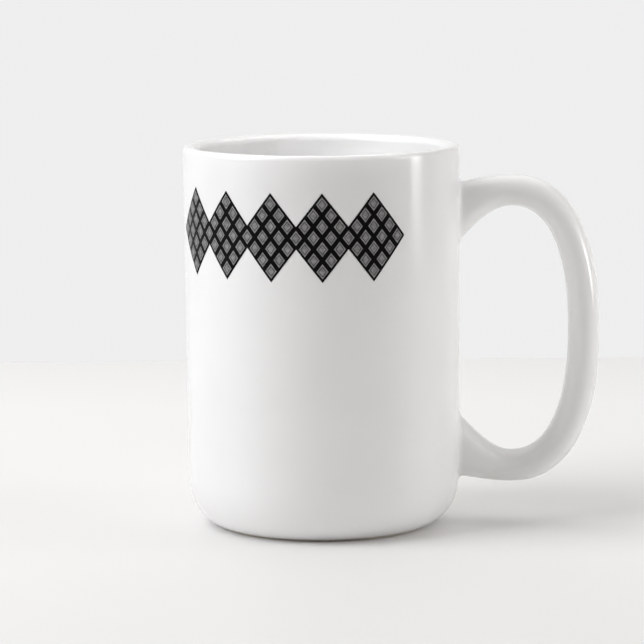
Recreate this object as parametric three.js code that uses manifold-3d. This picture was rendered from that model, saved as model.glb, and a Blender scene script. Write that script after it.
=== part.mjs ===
import * as THREE from "three";
import { mergeVertices } from "three/addons/utils/BufferGeometryUtils.js";
import Module from "manifold-3d";

// A tall straight stoneware mug: a clay cup, an ear handle luted on with slip, the glaze and a printed film.
// Lengths are millimetres and angles are degrees. +Z is up, and the handle points to +X.

// Cup, measured over its glaze
const CUP_HEIGHT = 117.5;
const RIM_DIAMETER = 85;
const WALL = 4.8;
const WALL_DRAFT = 0.5; // radius that the wall loses from the lip down to the lower corner
const LIP_RISE = 2.8; // height of the rounded lip
const CORNER_HEIGHT = 16; // where the bevelled lower corner runs into the wall
const CORNER_SLOPE = 16; // rise of the corner where it leaves the foot
const CORNER_PULL = 0.45; // share of the corner's height over which each end keeps its direction
const FLOOR_LEVEL = 8.5; // floor inside the cup, above the table
const FLOOR_RADIUS = 9; // round between the floor and the inner wall

// Foot ring, bare clay
const FOOT_DIAMETER = 65;
const FOOT_WIDTH = 4.5;
const FOOT_RECESS = 2.2; // depth of the base inside the ring
const FOOT_EASE = 0.3; // rounding of the ring's edges
const RECESS_FILLET = 1.6;

// Coats
const GLAZE = 0.35;
const GLAZE_LINE = 0.3; // height at which the outer glaze stops above the table
const FIT = 0.05; // left between two bodies that lie face to face

// Handle, measured over its glaze
const HANDLE_REACH = 43; // from the rim's outside to the bow's outermost point
const HANDLE_DROP = 9.6; // from the crest of the lip down to the top of the bow
const HANDLE_BOTTOM = 12.3; // lowest point of the bow above the table
const HANDLE_THICKNESS = 9.75; // in the side view
const HANDLE_WIDTH = 12.6; // across the side view
const ROOT_LENGTH = 15.5; // from the rim's outside to where the bow starts
const ROOT_WIDTH = 14.4;
const ROOT_SPLAY = 45; // slope of the finger side where it meets the wall
const ROOT_PULL = 0.38; // share of the root's run over which each end keeps its direction
const UPPER_ROOT_HEIGHT = 16.7; // each root's height where it meets its slip joint
const LOWER_ROOT_HEIGHT = 17.8;
const UPPER_ROOT_STEP = 2; // how far each root's back lies inside the top or bottom of the bow
const LOWER_ROOT_STEP = 1.7;
const JOINT = 1.5; // thickness of the slip between wall and root, and radius of its fillet
const BOW_SQUARENESS = 2.33; // superellipse exponent of the bow; 2 is an ellipse
const SECTION_SQUARENESS = 2.3;

// Printed film: a row of lozenges that meet at their waists
const PRINT_DROP = 11; // from the crest of the lip down to the lozenges
const PRINT_HEIGHT = 26.6;
const PRINT_WAIST = 6.65; // height left where two lozenges meet, a quarter of their own
const PRINT_TIP = 0.4; // height left at the two ends of the row
const PRINT_TURN = -21; // middle of the row, round the cup from -Y towards +X
const PRINT_FILM = 0.1;
const LOZENGES = 5;
const LOZENGE_PITCH = 15.6; // along the wall

// Facets
const SEGMENTS = 64; // round the cup
const CORNER_STEPS = 5;
const LIP_STEPS = 3;
const EASE_STEPS = 2;
const SECTION_STEPS = 16; // round the handle
const ROOT_STEPS = 5;
const BOW_STEPS = 18;
const FILLET_STEPS = 4;
const WELD = 1e-4;
const BISECTIONS = 30;

const COAT = GLAZE + FIT;
const RIM_RADIUS = RIM_DIAMETER / 2;
const LIP_START = CUP_HEIGHT - LIP_RISE;
const HANDLE_TOP = CUP_HEIGHT - HANDLE_DROP;
const PRINT_LEVEL = CUP_HEIGHT - PRINT_DROP - PRINT_HEIGHT / 2;
const point = (x, y) => new THREE.Vector2(x, y);

const wasm = await Module();
wasm.setup();

// A geometry's closed surface as a solid that can be cut and joined.
function solidOf(geometry) {
  const bare = geometry.clone();
  bare.deleteAttribute("normal");
  bare.deleteAttribute("uv");
  const welded = mergeVertices(bare, WELD);
  return new wasm.Manifold(
    new wasm.Mesh({
      numProp: 3,
      vertProperties: welded.attributes.position.array,
      triVerts: new Uint32Array(welded.index.array),
    }),
  );
}

function geometryOf(solid) {
  const { vertProperties, triVerts } = solid.getMesh();
  const geometry = new THREE.BufferGeometry();
  geometry.setAttribute("position", new THREE.BufferAttribute(vertProperties, 3));
  geometry.setIndex(new THREE.BufferAttribute(triVerts, 1));
  geometry.computeVertexNormals();
  return geometry;
}

// Turns a profile of (radius, height) points round the Z axis; the first facet edge lies on -Y.
function revolve(profile) {
  return new THREE.LatheGeometry(profile, SEGMENTS).rotateX(Math.PI / 2);
}

// Skins a row of rings, each turning right-handed about the way the row runs, and closes both ends.
function loft(rings) {
  const around = rings[0].length;
  const last = (rings.length - 1) * around;
  const index = [];
  for (let start = 0; start < last; start += around) {
    for (let j = 0; j < around; j++) {
      const a = start + j;
      const b = start + ((j + 1) % around);
      index.push(a, b, b + around, a, b + around, a + around);
    }
  }
  for (let j = 1; j + 1 < around; j++) {
    index.push(0, j + 1, j, last, last + j, last + j + 1);
  }
  const geometry = new THREE.BufferGeometry().setFromPoints(rings.flat());
  geometry.setIndex(index);
  geometry.computeVertexNormals();
  return geometry;
}

// Points along a chain of [curve, steps], each moved `inset` to the left of the way the chain runs.
function chainPoints(chain, inset) {
  return chain.flatMap(([curve, steps], k) => {
    const first = k === 0 ? 0 : 1;
    return Array.from({ length: steps + 1 - first }, (_, i) => {
      const t = (i + first) / steps;
      const along = curve.getTangent(t);
      return curve.getPoint(t).add(point(-along.y, along.x).multiplyScalar(inset));
    });
  });
}

// A quarter of an ellipse that starts at `from` and ends at `to`, upright at the end that `upright` names.
function quarter(from, to, upright) {
  const centre = upright === "start" ? point(to.x, from.y) : point(from.x, to.y);
  const rx = Math.abs(from.x - to.x);
  const ry = Math.abs(from.y - to.y);
  const angle = (p) => Math.atan2((p.y - centre.y) / ry, (p.x - centre.x) / rx);
  const start = angle(from);
  const turn = Math.atan2(Math.sin(angle(to) - start), Math.cos(angle(to) - start));
  return new THREE.EllipseCurve(centre.x, centre.y, rx, ry, start, start + turn, turn < 0);
}

// The cup's finished outside, from the glaze line at the foot up to the crest of the lip.
const wallBase = point(RIM_RADIUS - WALL_DRAFT, CORNER_HEIGHT);
const wallTop = point(RIM_RADIUS, LIP_START);
const glazeEnd = point(FOOT_DIAMETER / 2, GLAZE_LINE);
const crest = point(RIM_RADIUS - WALL / 2, CUP_HEIGHT);
const cornerPull = (CORNER_HEIGHT - GLAZE_LINE) * CORNER_PULL;
const cornerSlope = THREE.MathUtils.degToRad(CORNER_SLOPE);
const corner = new THREE.CubicBezierCurve(
  glazeEnd,
  point(Math.cos(cornerSlope), Math.sin(cornerSlope)).multiplyScalar(cornerPull).add(glazeEnd),
  point(wallBase.x, wallBase.y - cornerPull),
  wallBase,
);
const outside = [
  [corner, CORNER_STEPS],
  [new THREE.LineCurve(wallBase, wallTop), 1],
  [quarter(wallTop, crest, "start"), LIP_STEPS],
];

// The cup's finished inside, from the crest of the lip down to the middle of the floor.
const innerTop = point(RIM_RADIUS - WALL, LIP_START);
const innerBase = point(wallBase.x - WALL, FLOOR_LEVEL + FLOOR_RADIUS);
const floorEdge = point(innerBase.x - FLOOR_RADIUS, FLOOR_LEVEL);
const inside = [
  [quarter(crest, innerTop, "end"), LIP_STEPS],
  [new THREE.LineCurve(innerTop, innerBase), 1],
  [quarter(innerBase, floorEdge, "start"), CORNER_STEPS],
  [new THREE.LineCurve(floorEdge, point(0, FLOOR_LEVEL)), 1],
];

// A coat of glaze between a chain of curves and the clay under it.
function coatProfile(chain) {
  const face = chainPoints(chain, 0);
  const back = chainPoints(chain, GLAZE).reverse();
  return [...face, ...back, face[0]];
}

// The solid inside the cup's outside surface, moved out by `offset`.
function plug(offset) {
  const side = chainPoints(outside, -offset);
  const ends = [side[0], side[side.length - 1]].map((p) => point(0, p.y));
  return solidOf(revolve([ends[0], ...side, ends[1]]));
}

const clayOutside = chainPoints(outside, COAT);
const clayInside = chainPoints(inside, COAT).slice(1);
const footOuter = clayOutside[0].x;
const footInner = footOuter - FOOT_WIDTH;

function cupBody() {
  const underside = [
    [new THREE.LineCurve(point(0, FOOT_RECESS), point(footInner - RECESS_FILLET, FOOT_RECESS)), 1],
    [quarter(point(footInner - RECESS_FILLET, FOOT_RECESS), point(footInner, FOOT_EASE), "end"), EASE_STEPS],
    [quarter(point(footInner, FOOT_EASE), point(footInner + FOOT_EASE, 0), "start"), EASE_STEPS],
    [new THREE.LineCurve(point(footInner + FOOT_EASE, 0), point(footOuter - FOOT_EASE, 0)), 1],
    [quarter(point(footOuter - FOOT_EASE, 0), point(footOuter, FOOT_EASE), "end"), EASE_STEPS],
  ];
  return revolve([...chainPoints(underside, 0), ...clayOutside, ...clayInside]);
}

// The disc of glaze under the base, inside the foot ring.
function baseGlaze() {
  const radius = footInner - RECESS_FILLET;
  const top = FOOT_RECESS - FIT;
  return revolve([
    point(0, top - GLAZE),
    point(radius - GLAZE, top - GLAZE),
    point(radius, top),
    point(0, top),
  ]);
}

const bowX = RIM_RADIUS + ROOT_LENGTH;
const bowMiddle = (HANDLE_TOP + HANDLE_BOTTOM) / 2;

// Radius of the finished outside at a height on the wall or the lower corner.
function wallRadius(height) {
  if (height >= CORNER_HEIGHT) {
    return THREE.MathUtils.mapLinear(height, CORNER_HEIGHT, LIP_START, wallBase.x, wallTop.x);
  }
  let low = 0;
  let high = 1;
  for (let i = 0; i < BISECTIONS; i++) {
    const middle = (low + high) / 2;
    if (corner.getPoint(middle).y < height) {
      low = middle;
    } else {
      high = middle;
    }
  }
  return corner.getPoint(high).x;
}

// One root of the handle from inside the wall to the bow, as sections between its finger side and its back.
// Its first sections are the slip joint, with a quarter-round fillet that runs out onto the wall.
// `way` is 1 for the upper root and -1 for the lower one.
function rootSections(bowLevel, step, height, way) {
  const backLevel = bowLevel - way * step;
  const fingerLevel = backLevel - way * height;
  const wall = wallRadius((fingerLevel + backLevel) / 2);
  const face = wall + JOINT;
  const pull = (bowX - face) * ROOT_PULL;
  const splay = THREE.MathUtils.degToRad(ROOT_SPLAY);
  const fingerEnd = point(bowX, bowLevel - way * HANDLE_THICKNESS);
  const backEnd = point(bowX, bowLevel);
  const fingerStart = point(face, fingerLevel);
  const backStart = point(face, backLevel);
  const finger = new THREE.CubicBezierCurve(
    fingerStart,
    point(Math.cos(splay), way * Math.sin(splay)).multiplyScalar(pull).add(fingerStart),
    point(fingerEnd.x - pull, fingerEnd.y),
    fingerEnd,
  );
  const back = new THREE.CubicBezierCurve(
    backStart,
    point(face + pull, (backLevel + bowLevel) / 2),
    point(backEnd.x - pull, backEnd.y),
    backEnd,
  );
  const slipSection = (depth, flare) => {
    const at = (curve) => {
      const along = curve.getTangent(0);
      return curve.getPoint(0).add(along.multiplyScalar((depth - JOINT) / along.x));
    };
    return { finger: at(finger), back: at(back), halfWidth: ROOT_WIDTH / 2, flare, wall, hug: 1 };
  };
  const fillet = Array.from({ length: FILLET_STEPS }, (_, i) => {
    const angle = (i / FILLET_STEPS) * (Math.PI / 2);
    return slipSection(JOINT * (1 - Math.cos(angle)), JOINT * (1 - Math.sin(angle)));
  });
  const root = Array.from({ length: ROOT_STEPS }, (_, i) => {
    const t = i / ROOT_STEPS;
    const hug = 1 - THREE.MathUtils.smoothstep(t, 0, 1);
    const halfWidth = THREE.MathUtils.lerp(HANDLE_WIDTH, ROOT_WIDTH, hug) / 2;
    return { finger: finger.getPoint(t), back: back.getPoint(t), halfWidth, flare: 0, wall, hug };
  });
  return [slipSection(-JOINT, JOINT), ...fillet, ...root];
}

// The bow: two nested superellipse halves from the top round to the bottom.
function bowSections() {
  const reach = RIM_RADIUS + HANDLE_REACH - bowX;
  const rise = (HANDLE_TOP - HANDLE_BOTTOM) / 2;
  return Array.from({ length: BOW_STEPS + 1 }, (_, i) => {
    const angle = Math.PI / 2 - (Math.PI * i) / BOW_STEPS;
    const u = Math.abs(Math.cos(angle)) ** (2 / BOW_SQUARENESS);
    const v = Math.sign(Math.sin(angle)) * Math.abs(Math.sin(angle)) ** (2 / BOW_SQUARENESS);
    const at = (inset) => point(bowX + u * (reach - inset), bowMiddle + v * (rise - inset));
    const halfWidth = HANDLE_WIDTH / 2;
    return { finger: at(HANDLE_THICKNESS), back: at(0), halfWidth, flare: 0, wall: RIM_RADIUS, hug: 0 };
  });
}

const sections = [
  ...rootSections(HANDLE_TOP, UPPER_ROOT_STEP, UPPER_ROOT_HEIGHT, 1),
  ...bowSections(),
  ...rootSections(HANDLE_BOTTOM, LOWER_ROOT_STEP, LOWER_ROOT_HEIGHT, -1).reverse(),
];

// The whole ear with both roots running into the wall, its skin moved out by `offset`.
// A section's `hug` bends it to the round of the wall: 1 where it meets the slip and 0 on the bow.
function ear(offset) {
  const bulge = (x) => Math.sign(x) * Math.abs(x) ** (2 / SECTION_SQUARENESS);
  const rings = sections.map(({ finger, back, halfWidth, flare, wall, hug }) => {
    const middle = finger.clone().add(back).multiplyScalar(0.5);
    const across = back.clone().sub(finger);
    const halfThickness = across.length() / 2 + flare + offset;
    across.normalize();
    return Array.from({ length: SECTION_STEPS }, (_, j) => {
      const angle = (2 * Math.PI * j) / SECTION_STEPS;
      const side = bulge(Math.cos(angle)) * (halfWidth + flare + offset);
      const out = bulge(Math.sin(angle)) * halfThickness;
      const height = middle.y + across.y * out;
      const bend = Math.sqrt(wallRadius(height) ** 2 - side ** 2) - wall;
      return new THREE.Vector3(middle.x + across.x * out + hug * bend, side, height);
    });
  });
  return solidOf(loft(rings));
}

const clayEar = ear(-COAT);
const coatedEar = ear(-GLAZE);
const rootFace = JOINT - COAT; // from the finished wall out to the clay root

// The two rings of slip, lower one first.
function slipJoints() {
  const slip = plug(rootFace - FIT).subtract(plug(FIT - COAT));
  return clayEar
    .intersect(slip)
    .decompose()
    .sort((a, b) => a.boundingBox().min[2] - b.boundingBox().min[2]);
}

// The film, as columns from lozenge to lozenge that also follow every facet edge of the wall.
function printFilm() {
  const facet = (2 * Math.PI) / SEGMENTS;
  const pitch = LOZENGE_PITCH / wallRadius(PRINT_LEVEL);
  const slope = (PRINT_HEIGHT - PRINT_WAIST) / pitch;
  const tip = (PRINT_HEIGHT - PRINT_TIP) / 2 / slope;
  const turn = THREE.MathUtils.degToRad(PRINT_TURN);
  const middles = Array.from({ length: LOZENGES }, (_, i) => turn + (i - (LOZENGES - 1) / 2) * pitch);
  const from = middles[0] - tip;
  const to = middles[LOZENGES - 1] + tip;
  const marks = [from, ...middles, ...middles.slice(1).map((middle) => middle - pitch / 2), to];
  const edges = Array.from({ length: SEGMENTS }, (_, k) => (k - SEGMENTS / 2) * facet).filter(
    (edge) => edge > from && edge < to && marks.every((mark) => Math.abs(mark - edge) > facet / 50),
  );
  const rings = [...marks, ...edges]
    .sort((a, b) => a - b)
    .map((angle) => {
      const fromMiddle = Math.min(...middles.map((middle) => Math.abs(angle - middle)));
      const halfHeight = PRINT_HEIGHT / 2 - slope * fromMiddle;
      const fromFacetMiddle = THREE.MathUtils.euclideanModulo(angle, facet) - facet / 2;
      const chord = Math.cos(facet / 2) / Math.cos(fromFacetMiddle);
      const at = (side, lift) => {
        const height = PRINT_LEVEL + side * halfHeight;
        const radius = (wallRadius(height) + FIT + lift) * chord;
        return new THREE.Vector3(radius * Math.sin(angle), -radius * Math.cos(angle), height);
      };
      return [at(-1, 0), at(1, 0), at(1, PRINT_FILM), at(-1, PRINT_FILM)];
    });
  return loft(rings);
}

const [lowerSlip, upperSlip] = slipJoints();
const handleClay = clayEar.subtract(plug(rootFace));
const handleSkin = ear(0).subtract(coatedEar).subtract(plug(FIT));
const outerSkin = solidOf(revolve(coatProfile(outside))).subtract(coatedEar);

function piece(name, geometry, color, roughness) {
  const material = new THREE.MeshStandardMaterial({ color, roughness, metalness: 0 });
  const mesh = new THREE.Mesh(geometry, material);
  mesh.name = name;
  return mesh;
}

const CLAY = 0xe9e3d6;
const SLIP = 0xefeadf;
const WHITE = 0xf6f5f1;
const BLACK = 0x111112;

const mug = new THREE.Group();
mug.name = "mug";
mug.add(
  piece("cup_body", cupBody(), CLAY, 0.85),
  piece("handle", geometryOf(handleClay), CLAY, 0.85),
  piece("upper_slip_joint", geometryOf(upperSlip), SLIP, 0.85),
  piece("lower_slip_joint", geometryOf(lowerSlip), SLIP, 0.85),
  piece("inner_glaze", revolve(coatProfile(inside)), WHITE, 0.12),
  piece("outer_glaze", geometryOf(outerSkin), WHITE, 0.12),
  piece("handle_glaze", geometryOf(handleSkin), WHITE, 0.12),
  piece("base_glaze", baseGlaze(), WHITE, 0.2),
  piece("print_film", printFilm(), BLACK, 0.2),
);
mug.position.x = -HANDLE_REACH / 2; // the origin is the middle of the mug's whole footprint, on the table

export default mug;
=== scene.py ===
import math
from collections import namedtuple

import bpy
from mathutils import Matrix, Vector


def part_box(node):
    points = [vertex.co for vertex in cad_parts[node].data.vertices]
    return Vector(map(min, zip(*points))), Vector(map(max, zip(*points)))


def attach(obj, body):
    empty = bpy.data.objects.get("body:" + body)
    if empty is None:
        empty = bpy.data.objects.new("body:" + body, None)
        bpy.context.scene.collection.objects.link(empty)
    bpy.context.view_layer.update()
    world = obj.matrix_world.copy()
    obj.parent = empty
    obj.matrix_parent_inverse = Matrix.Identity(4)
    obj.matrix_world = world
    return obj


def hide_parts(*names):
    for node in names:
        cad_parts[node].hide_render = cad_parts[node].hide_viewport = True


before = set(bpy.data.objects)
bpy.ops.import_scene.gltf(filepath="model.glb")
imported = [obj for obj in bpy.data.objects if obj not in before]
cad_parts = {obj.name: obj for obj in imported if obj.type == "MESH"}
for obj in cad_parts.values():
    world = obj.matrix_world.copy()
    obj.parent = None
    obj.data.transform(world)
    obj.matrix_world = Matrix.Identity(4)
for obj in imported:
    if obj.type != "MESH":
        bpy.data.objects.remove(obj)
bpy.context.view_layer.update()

# A tall white stoneware mug with an ear handle and a printed row of lozenges, on a pale table.
# Lengths are metres. Shapes are made about the mug's upright axis, with the handle towards +X.

MM = 0.001
TINY = 1e-9  # as good as nothing


def grey(level, warmth=0.0):
    """A colour of a level; warmth raises its red and lowers its blue by that share."""
    return level * (1 + warmth), level, level * (1 - warmth), 1


# Sizes taken from the solids
cup_low, cup_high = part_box("outer_glaze")
ear_low, ear_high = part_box("handle_glaze")
film_low, film_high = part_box("print_film")
AXIS_X = (cup_low.x + cup_high.x) / 2
RIM_RADIUS = (cup_high.x - cup_low.x) / 2
CUP_HEIGHT = cup_high.z
GLAZE_LINE = cup_low.z
HANDLE_REACH = ear_high.x - cup_high.x
HANDLE_TOP = ear_high.z
HANDLE_BOTTOM = ear_low.z
PRINT_LEVEL = (film_low.z + film_high.z) / 2
PRINT_HEIGHT = film_high.z - film_low.z

# Cup
WALL = 4.8 * MM
WALL_DRAFT = 0.5 * MM
OUTER_LIP = 1.6 * MM  # height of the lip's rounding on each side
INNER_LIP = 2.2 * MM
LIP_CREST = 1.5 * MM  # in from the outside
CORNER_HEIGHT = 16 * MM
CORNER_SLOPE = math.radians(16)
CORNER_PULL = 0.45  # how long the curve keeps its end directions, as a share of its height
FLOOR_LEVEL = 8.5 * MM
FLOOR_RADIUS = 9 * MM
FOOT_RADIUS = 32.5 * MM
FOOT_WIDTH = 4.5 * MM
FOOT_RECESS = 2.2 * MM
FOOT_EASE = 0.3 * MM  # rounding of the foot's edges
RECESS_FILLET = 1.6 * MM
GLAZE = 0.35 * MM
GLAZE_SHELL = 0.8 * GLAZE  # thin enough to stay clear of the clay
COAT = 0.4 * MM  # from the glaze's face to the clay

# Handle
HANDLE_THICKNESS = 9.75 * MM
HANDLE_WIDTH = 12.6 * MM
ROOT_LENGTH = 15.5 * MM
ROOT_WIDTH = 14.4 * MM
ROOT_SPLAY = math.radians(45)
ROOT_PULL = 0.38  # how long the edges keep their end directions, as a share of the length
UPPER_ROOT_HEIGHT = 16.7 * MM
LOWER_ROOT_HEIGHT = 17.8 * MM
UPPER_ROOT_STEP = 2 * MM  # from the bow's level in to the back of the root
LOWER_ROOT_STEP = 1.7 * MM
JOINT = 1.5 * MM  # fillet where a root meets the wall
BOW_SQUARENESS = 2.33
ROOT_SQUARENESS = 2.3  # of the handle's section, against 2 for an ellipse
GRIP_SQUARENESS = 2.0
BOW_X = RIM_RADIUS + ROOT_LENGTH
BOW_MIDDLE = (HANDLE_TOP + HANDLE_BOTTOM) / 2

# Printed film
PRINT_WAIST = PRINT_HEIGHT / 4  # height between two lozenges
PRINT_TIP = 0.4 * MM  # height at the row's two ends
PRINT_TURN = math.radians(-21)  # of the row's middle, from the front away from the handle
LOZENGES = 5
LOZENGE_PITCH = 15.6 * MM
FILM_BACK = 0.04 * MM  # above the glaze
FILM_FACE = 0.1 * MM

# Table; the hole in it stays hidden under the foot
TABLE_SIZE = 2.5  # from the mug's axis to the front and to each side
TABLE_DEPTH = 0.336  # behind the mug's axis
TABLE_HOLE = FOOT_RADIUS - 0.8 * MM

# Facets
SEGMENTS = 192  # round the cup
CORNER_STEPS = 14
WALL_STEPS = 72
INNER_STEPS = 24
LIP_STEPS = 10
FLOOR_STEPS = 12
EASE_STEPS = 5
FILLET_STEPS = 7
ROOT_STEPS = 16
BOW_STEPS = 64
FILM_COLUMNS = 16  # from a lozenge's middle to the next waist
FILM_ROWS = 16
WINDOW_COLUMNS = 20  # cells of the wall that give way to one root of the handle
WINDOW_ROWS = 22
WINDOW_RINGS = 4  # rings of faces from the window's edge in to the root
HALVINGS = 30  # in the search for a height on the lower corner

# Noise in the finishes: scales are per metre, and pairs are the ends between which it moves a value
NOISE_SPAN = 0.3, 0.7  # where most values of a noise lie
SHEEN_SCALE = 300  # of the changes in roughness

# White glaze
GLAZE_WHITES = grey(0.905), grey(0.925)
GLAZE_CLOUDS = 45
GLAZE_ROUGHNESS = 0.1, 0.14
GLAZE_WAVES = 110
WAVE_STRENGTH = 0.08
WAVE_DEPTH = 0.1 * MM
LIP_WHITE = grey(0.9, 0.006)
LIP_FADE = 1.2 * MM  # down from the crest

# Bare clay
STONEWARE = grey(0.66, 0.16), grey(0.58, 0.2)
SLIP = grey(0.76, 0.05), grey(0.7, 0.06)
CLAY_CLOUDS = 180
CLAY_ROUGHNESS = 0.75, 0.95
CLAY_GRAIN = 4000
GRAIN_STRENGTH = 0.5
GRAIN_DEPTH = 0.15 * MM
SPECKLE = grey(0.3, 0.2)
SPECKLE_SCALE = 2600
SPECKLE_SPAN = 0.66, 0.74
SPECKLE_COVER = 0.5

# Ink
INK = grey(0.003)
INK_ROUGHNESS = 0.16, 0.24
INK_GLOSS = 0.05
RHOMBI = 4  # along a side of a lozenge
RHOMBUS_EDGE = 0.35, 0.33  # from a cell's middle, in cells: where the tint starts and is full
RHOMBUS_TINTS = grey(0.14), grey(0.36)
TINT_SCALE = 900
TINT_SPAN = 0.25, 0.75
LINE_PLACE = 0.22  # of the thin line in a rhombus, from the cell's middle
LINE_HALF_WIDTH = 0.025
LINE_TINT = grey(0.05)

# Table's finish, with painted light that makes its far end paler
TABLE_WHITES = grey(0.89, 0.008), grey(0.92, 0.008)
TABLE_CLOUDS = 6
# painted light: a paler colour at the far end of the table, in place of more light falling there
TABLE_FAR_PAINTED_LIGHT = grey(0.99, 0.004)
TABLE_PAINTED_LIGHT_FADE = 0.05, 0.22  # behind the mug's axis, where the painted light at the far end starts and is full
TABLE_ROUGHNESS = 0.45
TABLE_GLOSS = 0.3

# Lamps stand round their aim, at an azimuth from the camera's side towards the handle, an elevation
# and a distance. Angles are degrees. Radiance is that of the lamp before its beam is narrowed to a spread.
LAMP_AIM = Vector((AXIS_X, 0, CUP_HEIGHT / 2))
MOUTH = Vector((AXIS_X, 0, CUP_HEIGHT))
LAMP_FIELDS = "azimuth elevation distance width height radiance aim spread warmth"
Lamp = namedtuple("Lamp", LAMP_FIELDS, defaults=(LAMP_AIM, 180, 0))
LAMPS = {
    "left_softbox": Lamp(-72, 38, 1.1, 0.7, 1.3, 3.62, warmth=-0.02),
    "right_softbox": Lamp(80, 29, 0.85, 0.75, 0.65, 1.04),
    "back_softbox": Lamp(180, 70, 0.8, 1.2, 0.8, 1.12),
    "upper_strip": Lamp(83, 6.8, 0.5, 0.1, 0.14, 0.31, spread=30),
    "lower_strip": Lamp(83, 2.5, 0.5, 0.12, 0.1, 0.11, spread=30),
    "mouth_spot": Lamp(0, 20, 0.6, 0.06, 0.02, 0.42, aim=MOUTH, spread=3),
    "base_softbox": Lamp(0, -70, 0.8, 0.6, 0.6, 3.2),
}
ROOM_LIGHT = grey(0.115, 0.13)
BACKGROUND = grey(0.86)

# Camera: a long lens, a metre in front of the mug and a little above it
CAMERA_PLACE = Vector((AXIS_X, -1.0170, 0.20361))
CAMERA_PITCH = 0.13795  # radians, downwards
CAMERA_YAW = -0.000222
CAMERA_ROLL = -0.008425
FOCAL_PIXELS = 3323.53
PICTURE_PIXELS = 644  # along a side
SENSOR = 36  # millimetres

# One cross-section of the handle: its edges along the fingers and along the back as (x, height),
# half its width, the fillet's flare all round, the wall's radius at the root and how far the section
# follows the round of the wall.
Section = namedtuple("Section", "finger back half_width flare wall hug")


def mix(a, b, t):
    return a + (b - a) * t


def smoothstep(t):
    return t * t * (3 - 2 * t)


def bezier(a, b, c, d, t):
    s = 1 - t
    return a * s**3 + b * (3 * s * s * t) + c * (3 * s * t * t) + d * t**3


def quarter(start, end, upright_first, t):
    """Point on a quarter ellipse that is upright at its start or at its end."""
    turn = t * math.pi / 2
    run, rise = end - start
    if upright_first:
        return start + Vector((run * (1 - math.cos(turn)), rise * math.sin(turn)))
    return start + Vector((run * math.sin(turn), rise * (1 - math.cos(turn))))


def sample(curve, steps, first=0):
    """Points of a curve at even parameters, from step `first` to its end."""
    return [curve(i / steps) for i in range(first, steps + 1)]


# Corners of the cup's finished outline as (radius, height)
GLAZE_END = Vector((FOOT_RADIUS, GLAZE_LINE))
WALL_BASE = Vector((RIM_RADIUS - WALL_DRAFT, CORNER_HEIGHT))
WALL_TOP = Vector((RIM_RADIUS, CUP_HEIGHT - OUTER_LIP))
CREST = Vector((RIM_RADIUS - LIP_CREST, CUP_HEIGHT))
INNER_TOP = Vector((RIM_RADIUS - WALL, CUP_HEIGHT - INNER_LIP))
INNER_BASE = Vector((WALL_BASE.x - WALL, FLOOR_LEVEL + FLOOR_RADIUS))
FLOOR_EDGE = Vector((INNER_BASE.x - FLOOR_RADIUS, FLOOR_LEVEL))
FLOOR_MIDDLE = Vector((0, FLOOR_LEVEL))


def lower_corner(t):
    """The bevelled lower corner, from the glaze line up to the wall."""
    pull = (CORNER_HEIGHT - GLAZE_LINE) * CORNER_PULL
    leave = Vector((math.cos(CORNER_SLOPE), math.sin(CORNER_SLOPE))) * pull
    return bezier(GLAZE_END, GLAZE_END + leave, WALL_BASE - Vector((0, pull)), WALL_BASE, t)


def wall_radius(height):
    """Radius of the finished outside at a height on the wall or the lower corner."""
    if height >= CORNER_HEIGHT:
        return WALL_BASE.lerp(WALL_TOP, (height - WALL_BASE.y) / (WALL_TOP.y - WALL_BASE.y)).x
    low, high = 0, 1
    for _ in range(HALVINGS):
        middle = (low + high) / 2
        if lower_corner(middle).y < height:
            low = middle
        else:
            high = middle
    return lower_corner(high).x


def outside_profile():
    """Finished outside as (radius, height) points, from the glaze line up to the crest of the lip."""
    return (
        sample(lower_corner, CORNER_STEPS)
        + sample(lambda t: WALL_BASE.lerp(WALL_TOP, t), WALL_STEPS, 1)
        + sample(lambda t: quarter(WALL_TOP, CREST, True, t), LIP_STEPS, 1)
    )


def inside_profile():
    """Finished inside, from below the crest of the lip to the middle of the floor."""
    return (
        sample(lambda t: quarter(CREST, INNER_TOP, False, t), LIP_STEPS, 1)
        + sample(lambda t: INNER_TOP.lerp(INNER_BASE, t), INNER_STEPS, 1)
        + sample(lambda t: quarter(INNER_BASE, FLOOR_EDGE, True, t), FLOOR_STEPS, 1)
        + sample(lambda t: FLOOR_EDGE.lerp(FLOOR_MIDDLE, t), FLOOR_STEPS, 1)
    )


def inset_profile(profile, inset):
    """A profile moved to the left of the way it runs."""
    moved = []
    for i, point in enumerate(profile):
        along = profile[min(i + 1, len(profile) - 1)] - profile[max(i - 1, 0)]
        along.normalize()
        moved.append(point + Vector((-along.y, along.x)) * inset)
    return moved


def rolled_edge():
    """The bead in which the outer glaze ends on the foot, up to the glaze line."""
    first_share = 0.01  # of the corner, over which its way out of the bead is taken
    along = (lower_corner(first_share) - GLAZE_END).normalized()
    inward = Vector((-along.y, along.x))
    middle = GLAZE_END + inward * GLAZE

    def bead_point(t):
        turn = t * math.pi / 2
        return middle - (along * math.cos(turn) + inward * math.sin(turn)) * GLAZE

    return sample(bead_point, EASE_STEPS)[:-1]


def polar(radius, angle, height):
    return Vector((radius * math.cos(angle), radius * math.sin(angle), height))


def column_angle(column):
    return 2 * math.pi * column / SEGMENTS


def on_wall(angle, height):
    return polar(wall_radius(height), angle, height)


def join_rings(faces, ring, following):
    """Quads between two closed rings of vertex numbers.

    They face out where the rings turn counterclockwise about the way from the first to the second.
    """
    for j in range(len(ring)):
        k = (j + 1) % len(ring)
        faces.append((ring[j], ring[k], following[k], following[j]))


def revolve(profile):
    """Vertices, faces and rings of a profile turned round the axis; a point on the axis makes a fan."""
    vertices, faces, rings = [], [], []
    for radius, height in profile:
        start = len(vertices)
        if radius < TINY:
            vertices.append(Vector((0, 0, height)))
            rings.append([start] * SEGMENTS)
            continue
        vertices += [polar(radius, column_angle(j), height) for j in range(SEGMENTS)]
        rings.append(list(range(start, start + SEGMENTS)))
    for ring, following in zip(rings, rings[1:]):
        join_rings(faces, ring, following)
    return vertices, [tuple(dict.fromkeys(face)) for face in faces], rings


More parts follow.
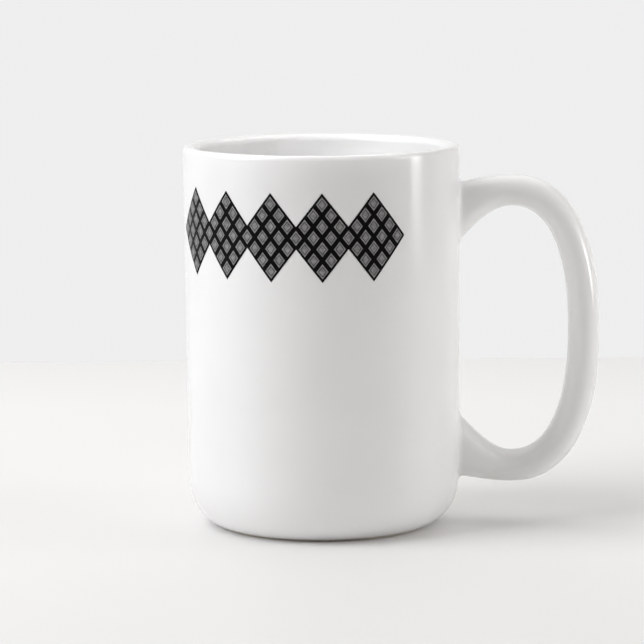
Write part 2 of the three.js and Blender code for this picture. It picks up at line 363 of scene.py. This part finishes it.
def mesh_piece(name, vertices, faces, material):
    mesh = bpy.data.meshes.new(name)
    mesh.from_pydata(vertices, [], faces)
    mesh.materials.append(material)
    mesh.shade_smooth()
    piece = bpy.data.objects.new(name, mesh)
    piece.location.x = AXIS_X
    bpy.context.scene.collection.objects.link(piece)
    return piece


def root_sections(bow_level, step, height, way):
    """One root of the handle from the wall to the bow.

    `way` is 1 for the upper root and -1 for the lower.
    """
    back_level = bow_level - way * step
    finger_level = back_level - way * height
    wall = wall_radius((finger_level + back_level) / 2)
    face = wall + JOINT
    pull = (BOW_X - face) * ROOT_PULL
    finger_start = Vector((face, finger_level))
    back_start = Vector((face, back_level))
    finger_end = Vector((BOW_X, bow_level - way * HANDLE_THICKNESS))
    back_end = Vector((BOW_X, bow_level))
    finger_leave = Vector((math.cos(ROOT_SPLAY), way * math.sin(ROOT_SPLAY))) * pull
    back_leave = Vector((pull, (bow_level - back_level) / 2))
    arrive = Vector((pull, 0))
    sections = []
    for i in range(FILLET_STEPS):
        angle = i / FILLET_STEPS * math.pi / 2
        behind = JOINT * math.cos(angle)
        finger = finger_start - finger_leave * (behind / finger_leave.x)
        back = back_start - back_leave * (behind / back_leave.x)
        flare = JOINT * (1 - math.sin(angle))
        sections.append(Section(finger, back, ROOT_WIDTH / 2, flare, wall, 1))
    for i in range(ROOT_STEPS):
        t = i / ROOT_STEPS
        hug = 1 - smoothstep(t)
        finger = bezier(finger_start, finger_start + finger_leave, finger_end - arrive, finger_end, t)
        back = bezier(back_start, back_start + back_leave, back_end - arrive, back_end, t)
        sections.append(Section(finger, back, mix(HANDLE_WIDTH, ROOT_WIDTH, hug) / 2, 0, wall, hug))
    return sections


def bow_sections():
    """The bow: two nested superellipse halves from the top round to the bottom."""
    reach = RIM_RADIUS + HANDLE_REACH - BOW_X
    rise = (HANDLE_TOP - HANDLE_BOTTOM) / 2
    inner_reach = reach - HANDLE_THICKNESS
    inner_rise = rise - HANDLE_THICKNESS
    power = 2 / BOW_SQUARENESS
    sections = []
    for i in range(BOW_STEPS + 1):
        angle = math.pi / 2 - math.pi * i / BOW_STEPS
        u = abs(math.cos(angle)) ** power
        v = math.copysign(abs(math.sin(angle)) ** power, math.sin(angle))
        back = Vector((BOW_X + u * reach, BOW_MIDDLE + v * rise))
        finger = Vector((BOW_X + u * inner_reach, BOW_MIDDLE + v * inner_rise))
        sections.append(Section(finger, back, HANDLE_WIDTH / 2, 0, RIM_RADIUS, 0))
    return sections


def handle_sections():
    """The handle from the wall at its upper root, round the bow, to the wall at its lower root."""
    upper = root_sections(HANDLE_TOP, UPPER_ROOT_STEP, UPPER_ROOT_HEIGHT, 1)
    lower = root_sections(HANDLE_BOTTOM, LOWER_ROOT_STEP, LOWER_ROOT_HEIGHT, -1)
    return upper + bow_sections() + lower[::-1]


def section_ring(section, angles):
    """The handle's outline at a section, bent to the round of the wall as far as the section hugs it."""
    middle = (section.finger + section.back) / 2
    across = section.back - section.finger
    half_width = section.half_width + section.flare
    half_thickness = across.length / 2 + section.flare
    across.normalize()
    power = mix(GRIP_SQUARENESS, ROOT_SQUARENESS, section.hug)
    ring = []
    for angle in angles:
        side_share = abs(math.cos(angle) / half_width) ** power
        out_share = abs(math.sin(angle) / half_thickness) ** power
        reach = (side_share + out_share) ** (-1 / power)
        side = reach * math.cos(angle)
        out = reach * math.sin(angle)
        height = middle.y + across.y * out
        bend = math.sqrt(wall_radius(height) ** 2 - side**2) - section.wall
        ring.append(Vector((middle.x + across.x * out + section.hug * bend, side, height)))
    return ring


def window_loop(heights, level, way):
    """The edge of the window in the wall for a root at `level`, as (row, column) pairs round it.

    It starts at the finger side and turns as the handle's sections do.
    """
    nearest = min(range(len(heights)), key=lambda row: abs(heights[row] - level))
    half = WINDOW_COLUMNS // 2
    rows = [nearest + way * (i - WINDOW_ROWS // 2) for i in range(WINDOW_ROWS + 1)]
    columns = list(range(-half, half + 1))
    return (
        [(row, half) for row in rows]
        + [(rows[-1], column) for column in columns[-2::-1]]
        + [(row, -half) for row in rows[-2::-1]]
        + [(rows[0], column) for column in columns[1:-1]]
    )


def window_faces(loop):
    """Numbers of the revolved faces that lie inside a window's edge."""
    rows = [row for row, _ in loop]
    columns = [column for _, column in loop]
    return {
        row * SEGMENTS + column % SEGMENTS
        for row in range(min(rows), max(rows))
        for column in range(min(columns), max(columns))
    }


def loop_angles(points, level, way):
    """Direction of each point of a window's edge from the middle of the root, always increasing."""
    angles = []
    for point in points:
        angle = math.atan2(way * (point.z - level), point.y)
        while angles and angle < angles[-1]:
            angle += 2 * math.pi
        angles.append(angle)
    return angles


def wall_rings(edge, end):
    """Rings of points on the wall, from a window's edge in towards the end of the root."""
    rings = []
    for i in range(1, WINDOW_RINGS):
        t = i / WINDOW_RINGS
        ring = []
        for outer, inner in zip(edge, end):
            outer_angle = math.atan2(outer.y, outer.x)
            inner_angle = math.atan2(inner.y, inner.x)
            ring.append(on_wall(mix(outer_angle, inner_angle, t), mix(outer.z, inner.z, t)))
        rings.append(ring)
    return rings


def glaze_coat(material):
    """One unbroken coat of glaze: up from the foot, over the handle and the lip, and down inside."""
    bead = rolled_edge()
    outside = outside_profile()
    vertices, faces, rings = revolve(bead + outside + inside_profile())
    heights = [point.y for point in bead + outside[: CORNER_STEPS + WALL_STEPS + 1]]

    sections = handle_sections()
    loops, edges, angles, closed = [], [], [], set()
    for section, way in ((sections[0], 1), (sections[-1], -1)):
        level = (section.finger.y + section.back.y) / 2
        cells = window_loop(heights, level, way)
        closed |= window_faces(cells)
        loop = [rings[row][column % SEGMENTS] for row, column in cells]
        edge = [vertices[number] for number in loop]
        loops.append(loop)
        edges.append(edge)
        angles.append(loop_angles(edge, level, way))
    faces = [face for i, face in enumerate(faces) if i not in closed]

    ear = []
    for i, section in enumerate(sections):
        t = i / (len(sections) - 1)
        ear.append(section_ring(section, [mix(a, b, t) for a, b in zip(*angles)]))
    upper = wall_rings(edges[0], ear[0])
    lower = wall_rings(edges[1], ear[-1])[::-1]
    row = [loops[0]]
    for points in upper + ear + lower:
        row.append(list(range(len(vertices), len(vertices) + len(points))))
        vertices += points
    row.append(loops[1])
    for ring, following in zip(row, row[1:]):
        join_rings(faces, ring, following)

    piece = mesh_piece("glaze_coat", vertices, faces, material)
    thicken = piece.modifiers.new("coat", "SOLIDIFY")
    thicken.thickness = GLAZE_SHELL
    thicken.offset = -1
    return piece


def foot_profile(clay_edge):
    """The recessed base and the bare foot, from the base's middle to the clay under the glaze line."""
    outer = clay_edge.x
    inner = outer - FOOT_WIDTH
    ceiling = Vector((inner - RECESS_FILLET, FOOT_RECESS))
    inner_wall = Vector((inner, FOOT_EASE))
    inner_edge = Vector((inner + FOOT_EASE, 0))
    outer_edge = Vector((outer - FOOT_EASE, 0))
    outer_wall = Vector((outer, FOOT_EASE))
    return (
        sample(lambda t: Vector((0, FOOT_RECESS)).lerp(ceiling, t), EASE_STEPS)
        + sample(lambda t: quarter(ceiling, inner_wall, False, t), EASE_STEPS, 1)
        + sample(lambda t: quarter(inner_wall, inner_edge, True, t), EASE_STEPS, 1)
        + sample(lambda t: inner_edge.lerp(outer_edge, t), EASE_STEPS, 1)
        + sample(lambda t: quarter(outer_edge, outer_wall, False, t), EASE_STEPS, 1)
    )


def cup_clay(material):
    """The clay cup under its glaze; only the foot shows."""
    clay = inset_profile(outside_profile() + inside_profile(), COAT)
    clay[-1].x = 0
    vertices, faces, _ = revolve(foot_profile(clay[0]) + clay)
    return mesh_piece("cup_clay", vertices, faces, material)


def base_coat(material):
    """The disc of glaze under the base, rounded off at its edge."""
    low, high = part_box("base_glaze")
    radius = (high.x - low.x) / 2
    edge = Vector((radius - GLAZE, low.z))
    profile = (
        sample(lambda t: Vector((0, low.z)).lerp(edge, t), FLOOR_STEPS)
        + sample(lambda t: quarter(edge, Vector((radius, high.z)), False, t), EASE_STEPS, 1)
        + [Vector((0, high.z))]
    )
    vertices, faces, _ = revolve(profile)
    return mesh_piece("base_coat", vertices, faces, material)


def print_columns():
    """Angle between lozenges, the angles of the film's columns and its half height at each."""
    pitch = LOZENGE_PITCH / wall_radius(PRINT_LEVEL)
    slope = (PRINT_HEIGHT - PRINT_WAIST) / pitch
    tip = (PRINT_HEIGHT - PRINT_TIP) / 2 / slope
    first = -(LOZENGES - 1) / 2 * pitch
    steps = 2 * FILM_COLUMNS * (LOZENGES - 1)
    inner = [first + pitch * i / (2 * FILM_COLUMNS) for i in range(steps + 1)]
    ends = [tip * i / FILM_COLUMNS for i in range(1, FILM_COLUMNS + 1)]
    angles = [first - end for end in ends[::-1]] + inner + [-first + end for end in ends]
    middles = [first + pitch * i for i in range(LOZENGES)]
    halves = [PRINT_HEIGHT / 2 - slope * min(abs(a - m) for m in middles) for a in angles]
    return pitch, angles, halves


def print_film(material):
    """The printed film, a thin slab on the wall; its map counts lozenges across and half heights up."""
    pitch, angles, halves = print_columns()
    vertices, mapped, rings = [], [], []
    up = [2 * i / FILM_ROWS - 1 for i in range(FILM_ROWS + 1)]
    for angle, half in zip(angles, halves):
        start = len(vertices)
        turn = PRINT_TURN + angle - math.pi / 2
        for lift, shares in ((FILM_BACK, up), (FILM_FACE, up[::-1])):
            for share in shares:
                height = PRINT_LEVEL + share * half
                vertices.append(polar(wall_radius(height) + lift, turn, height))
                mapped.append((angle / pitch, share * half / (PRINT_HEIGHT / 2)))
        rings.append(list(range(start, len(vertices))))
    faces = [tuple(rings[0][::-1]), tuple(rings[-1])]
    for ring, following in zip(rings, rings[1:]):
        join_rings(faces, ring, following)
    piece = mesh_piece("print_film", vertices, faces, material)
    uv = piece.data.uv_layers.new(name="lozenges")
    for loop in piece.data.loops:
        uv.data[loop.index].uv = mapped[loop.vertex_index]
    return piece


def table_top(material):
    """A table that ends a forearm's length behind the mug; the hole in it lets light up to the base."""
    inner, outer = [], []
    for j in range(SEGMENTS):
        way = polar(1, column_angle(j), 0)
        depth = TABLE_DEPTH if way.y > 0 else TABLE_SIZE
        reach = min(TABLE_SIZE / max(abs(way.x), TINY), depth / max(abs(way.y), TINY))
        inner.append(way * TABLE_HOLE)
        outer.append(way * reach)
    faces = []
    join_rings(faces, list(range(SEGMENTS, 2 * SEGMENTS)), list(range(SEGMENTS)))
    return mesh_piece("table_top", inner + outer, faces, material)


def set_inputs(tree, made, inputs):
    """Gives each named socket of a node a value, or an output to link it to."""
    for name, value in inputs.items():
        if isinstance(value, bpy.types.NodeSocket):
            tree.links.new(value, made.inputs[name])
        else:
            made.inputs[name].default_value = value


def node(tree, kind, inputs=None, **settings):
    made = tree.nodes.new(kind)
    for name, value in settings.items():
        setattr(made, name, value)
    set_inputs(tree, made, inputs or {})
    return made


def math_node(tree, operation, *values):
    return node(tree, "ShaderNodeMath", dict(enumerate(values)), operation=operation).outputs[0]


def blend_colours(tree, share, first, second):
    share_socket, first_socket, second_socket, result = 0, 6, 7, 2  # those that a mix of colours uses
    inputs = {share_socket: share, first_socket: first, second_socket: second}
    return node(tree, "ShaderNodeMix", inputs, data_type="RGBA").outputs[result]


def map_range(tree, value, low, high, to_low=0, to_high=1):
    inputs = {"Value": value, "From Min": low, "From Max": high, "To Min": to_low, "To Max": to_high}
    return node(tree, "ShaderNodeMapRange", inputs).outputs[0]


def noise(tree, place, scale, detail=2):
    inputs = {"Vector": place, "Scale": scale, "Detail": detail}
    return node(tree, "ShaderNodeTexNoise", inputs).outputs["Fac"]


def mottle(tree, place, scale, ends=(0, 1)):
    """Noise stretched so that it moves between two ends."""
    return map_range(tree, noise(tree, place, scale), *NOISE_SPAN, *ends)


def bump(tree, height, strength, depth):
    inputs = {"Height": height, "Strength": strength, "Distance": depth}
    return node(tree, "ShaderNodeBump", inputs).outputs[0]


def split(tree, vector):
    return node(tree, "ShaderNodeSeparateXYZ", {"Vector": vector}).outputs


def new_material(name):
    """A plain material with its tree, its surface shader and its object coordinates."""
    material = bpy.data.materials.new(name)
    material.use_nodes = True
    tree = material.node_tree
    shader = tree.nodes["Principled BSDF"]
    place = node(tree, "ShaderNodeTexCoord").outputs["Object"]
    return material, tree, shader, place


def white_glaze():
    """Glossy white glaze: faint clouds, a soft wave in its surface and a thinner coat on the lip."""
    material, tree, shader, place = new_material("white_glaze")
    cloudy = blend_colours(tree, mottle(tree, place, GLAZE_CLOUDS), *GLAZE_WHITES)
    thin = map_range(tree, split(tree, place)["Z"], CUP_HEIGHT - LIP_FADE, CUP_HEIGHT)
    wave = noise(tree, place, GLAZE_WAVES, detail=1)
    set_inputs(tree, shader, {
        "Base Color": blend_colours(tree, thin, cloudy, LIP_WHITE),
        "Roughness": mottle(tree, place, SHEEN_SCALE, GLAZE_ROUGHNESS),
        "Normal": bump(tree, wave, WAVE_STRENGTH, WAVE_DEPTH),
    })
    return material


def bare_clay(name, pale, dark):
    """Unglazed fired clay: matt, finely grained and thinly speckled."""
    material, tree, shader, place = new_material(name)
    body = blend_colours(tree, noise(tree, place, CLAY_CLOUDS), pale, dark)
    speckle = map_range(tree, noise(tree, place, SPECKLE_SCALE, detail=1), *SPECKLE_SPAN)
    cover = math_node(tree, "MULTIPLY", speckle, SPECKLE_COVER)
    grain = noise(tree, place, CLAY_GRAIN, detail=3)
    set_inputs(tree, shader, {
        "Base Color": blend_colours(tree, cover, body, SPECKLE),
        "Roughness": map_range(tree, grain, 0, 1, *CLAY_ROUGHNESS),
        "Normal": bump(tree, grain, GRAIN_STRENGTH, GRAIN_DEPTH),
    })
    return material


def printed():
    """Black print with a lattice of grey rhombi in each lozenge, and a thin line in each rhombus."""
    material, tree, shader, place = new_material("printed_lozenges")
    uv = node(tree, "ShaderNodeUVMap", uv_map="lozenges").outputs["UV"]
    across, up, _ = split(tree, uv)
    beside = math_node(tree, "SUBTRACT", across, math_node(tree, "ROUND", across))
    full = math_node(tree, "MULTIPLY", beside, (PRINT_HEIGHT - PRINT_WAIST) / PRINT_HEIGHT * 2)
    cells = []
    for operation in ("ADD", "SUBTRACT"):
        diagonal = math_node(tree, "MULTIPLY", math_node(tree, operation, full, up), RHOMBI / 2)
        from_middle = math_node(tree, "SUBTRACT", math_node(tree, "FRACT", diagonal), 0.5)
        cells.append(math_node(tree, "ABSOLUTE", from_middle))
    from_cell = math_node(tree, "MAXIMUM", *cells)
    inside = map_range(tree, from_cell, *RHOMBUS_EDGE)
    line = math_node(tree, "COMPARE", from_cell, LINE_PLACE, LINE_HALF_WIDTH)
    shade = map_range(tree, noise(tree, place, TINT_SCALE, detail=3), *TINT_SPAN)
    tint = blend_colours(tree, shade, *RHOMBUS_TINTS)
    motif = blend_colours(tree, line, tint, LINE_TINT)
    set_inputs(tree, shader, {
        "Base Color": blend_colours(tree, inside, INK, motif),
        "Roughness": mottle(tree, place, SHEEN_SCALE, INK_ROUGHNESS),
        "Specular IOR Level": INK_GLOSS,
    })
    return material


def pale_table():
    """Pale and faintly clouded, with painted light that makes it paler at the far end; from below it is
    clear, so that the base shows.
    """
    material, tree, shader, place = new_material("table")
    cloudy = blend_colours(tree, noise(tree, place, TABLE_CLOUDS), *TABLE_WHITES)
    # painted light: the colour turns paler towards the far end of the table
    far = map_range(tree, split(tree, place)["Y"], *TABLE_PAINTED_LIGHT_FADE)
    set_inputs(tree, shader, {
        "Base Color": blend_colours(tree, far, cloudy, TABLE_FAR_PAINTED_LIGHT),
        "Roughness": TABLE_ROUGHNESS,
        "Specular IOR Level": TABLE_GLOSS,
    })
    under = node(tree, "ShaderNodeNewGeometry").outputs["Backfacing"]
    clear = node(tree, "ShaderNodeBsdfTransparent").outputs[0]
    surface = node(tree, "ShaderNodeMixShader", {0: under, 1: shader.outputs[0], 2: clear})
    set_inputs(tree, tree.nodes["Material Output"], {"Surface": surface.outputs[0]})
    return material


def lamp(name, setting):
    light = bpy.data.lights.new(name, "AREA")
    light.shape = "RECTANGLE"
    light.size = setting.width
    light.size_y = setting.height
    light.spread = math.radians(setting.spread)
    light.energy = setting.radiance * math.pi * setting.width * setting.height
    light.color = grey(1, setting.warmth)[:3]
    turn = math.radians(setting.azimuth)
    rise = math.radians(setting.elevation)
    away = Vector((math.sin(turn) * math.cos(rise), -math.cos(turn) * math.cos(rise), math.sin(rise)))
    shown = bpy.data.objects.new(name, light)
    shown.location = setting.aim + away * setting.distance
    shown.rotation_euler = away.to_track_quat("Z", "Y").to_euler()
    shown.visible_camera = False
    bpy.context.scene.collection.objects.link(shown)


def room():
    """Even dim light all round; the camera and reflections see a plain pale wall instead."""
    world = bpy.data.worlds.new("room")
    world.use_nodes = True
    tree = world.node_tree
    path = node(tree, "ShaderNodeLightPath").outputs
    seen = math_node(tree, "MAXIMUM", path["Is Camera Ray"], path["Is Glossy Ray"])
    seen = math_node(tree, "MAXIMUM", seen, path["Is Transmission Ray"])
    colour = blend_colours(tree, seen, ROOM_LIGHT, BACKGROUND)
    set_inputs(tree, tree.nodes["Background"], {"Color": colour})
    bpy.context.scene.world = world


def camera():
    forward = Vector((
        math.sin(CAMERA_YAW) * math.cos(CAMERA_PITCH),
        math.cos(CAMERA_YAW) * math.cos(CAMERA_PITCH),
        -math.sin(CAMERA_PITCH),
    ))
    level = Vector((math.cos(CAMERA_YAW), -math.sin(CAMERA_YAW), 0))
    upright = level.cross(forward)
    right = level * math.cos(CAMERA_ROLL) + upright * math.sin(CAMERA_ROLL)
    up = upright * math.cos(CAMERA_ROLL) - level * math.sin(CAMERA_ROLL)
    data = bpy.data.cameras.new("camera")
    data.sensor_width = SENSOR
    data.lens = FOCAL_PIXELS * SENSOR / PICTURE_PIXELS
    shown = bpy.data.objects.new("camera", data)
    turn = Matrix((right, up, -forward)).transposed().to_4x4()
    shown.matrix_world = Matrix.Translation(CAMERA_PLACE) @ turn
    bpy.context.scene.collection.objects.link(shown)
    bpy.context.scene.camera = shown


def dress(piece, slot, *nodes):
    """Puts a piece under the root body and hides the nodes of the solid model that it shows in their
    place.
    """
    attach(piece, "root")
    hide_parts(*nodes)


camera()
glaze = white_glaze()
stoneware = bare_clay("stoneware", *STONEWARE)
slip = bare_clay("slip", *SLIP)
dress(glaze_coat(glaze), "white_glaze", "outer_glaze", "inner_glaze", "handle_glaze")
dress(cup_clay(stoneware), "stoneware", "cup_body")
dress(base_coat(glaze), "white_glaze", "base_glaze")
dress(print_film(printed()), "print", "print_film")
for name, material in (("handle", stoneware), ("upper_slip_joint", slip), ("lower_slip_joint", slip)):
    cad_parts[name].material_slots[0].material = material

table = table_top(pale_table())
for name, setting in LAMPS.items():
    lamp(name, setting)
room()
bpy.context.scene.view_settings.view_transform = "Standard"
